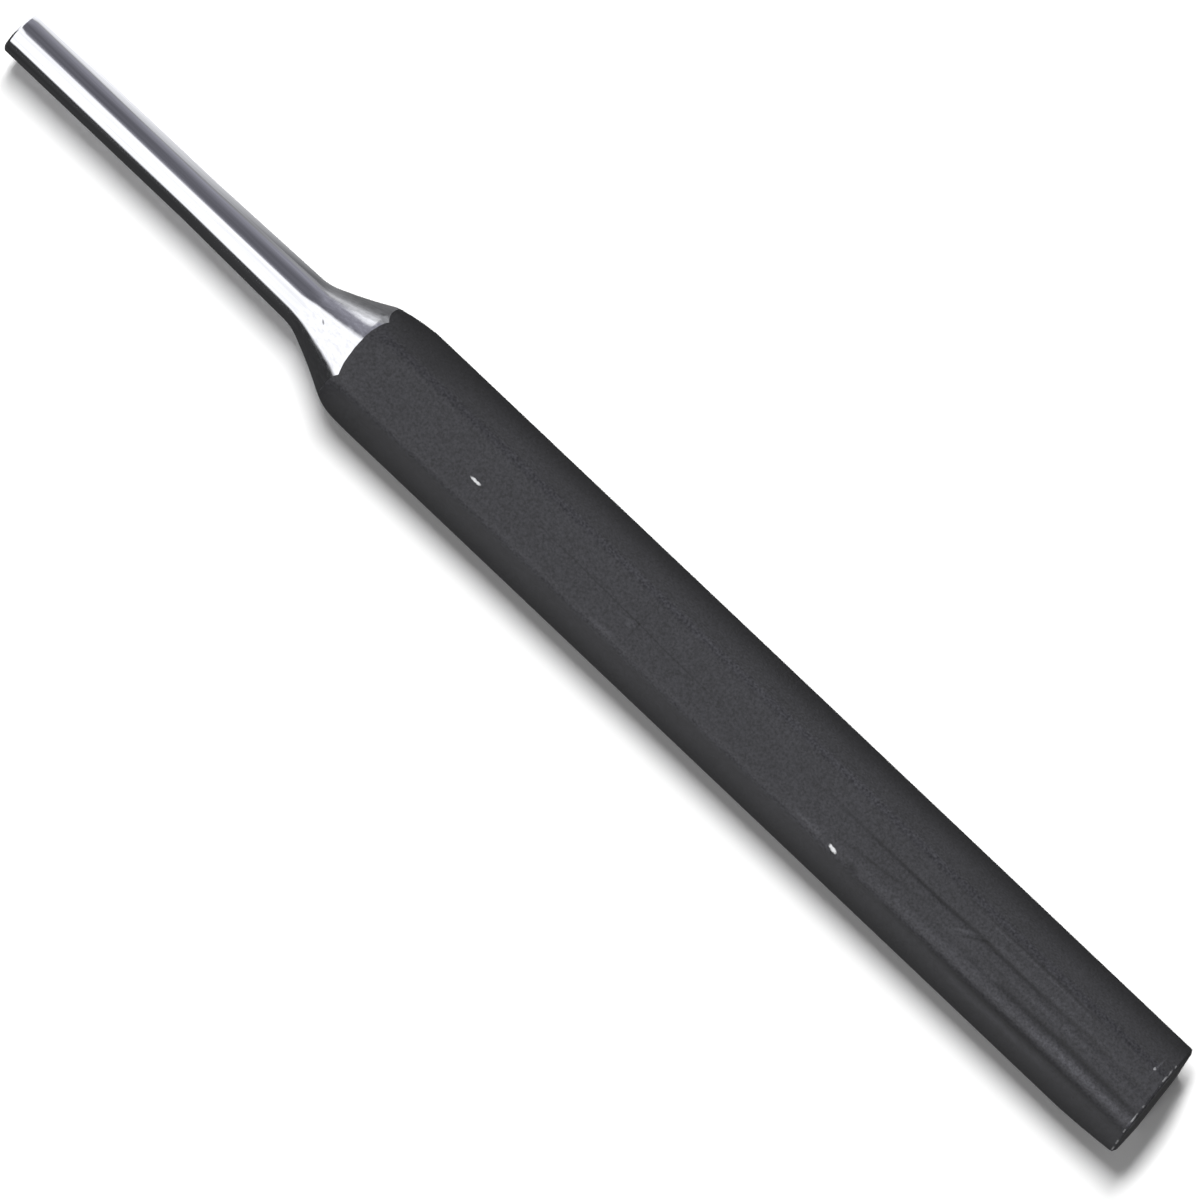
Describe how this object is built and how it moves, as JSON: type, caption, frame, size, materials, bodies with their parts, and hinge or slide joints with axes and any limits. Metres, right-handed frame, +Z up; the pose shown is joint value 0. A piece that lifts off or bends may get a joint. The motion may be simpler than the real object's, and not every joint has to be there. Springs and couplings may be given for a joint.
{
  "type": "pin punch",
  "caption": "Hexagonal-shank pin punch with a straight ground pin, a flared neck and a black-coated shank and struck end.",
  "frame": {"origin": "centre of the footprint, on the surface that the lower flat of the shank lies on", "axes": "+X along the bar towards the tip of the pin, +Z up, square to the flat that the punch lies on, +Y across the bar"},
  "size_m": [0.15, 0.0128, 0.0114],
  "materials": {
    "ground_steel": "ground and polished bright",
    "black_coat": "satin black"
  },
  "bodies": {
    "root": {"steel_bar": "ground_steel", "black_coat": "black_coat"}
  },
  "joints": []
}
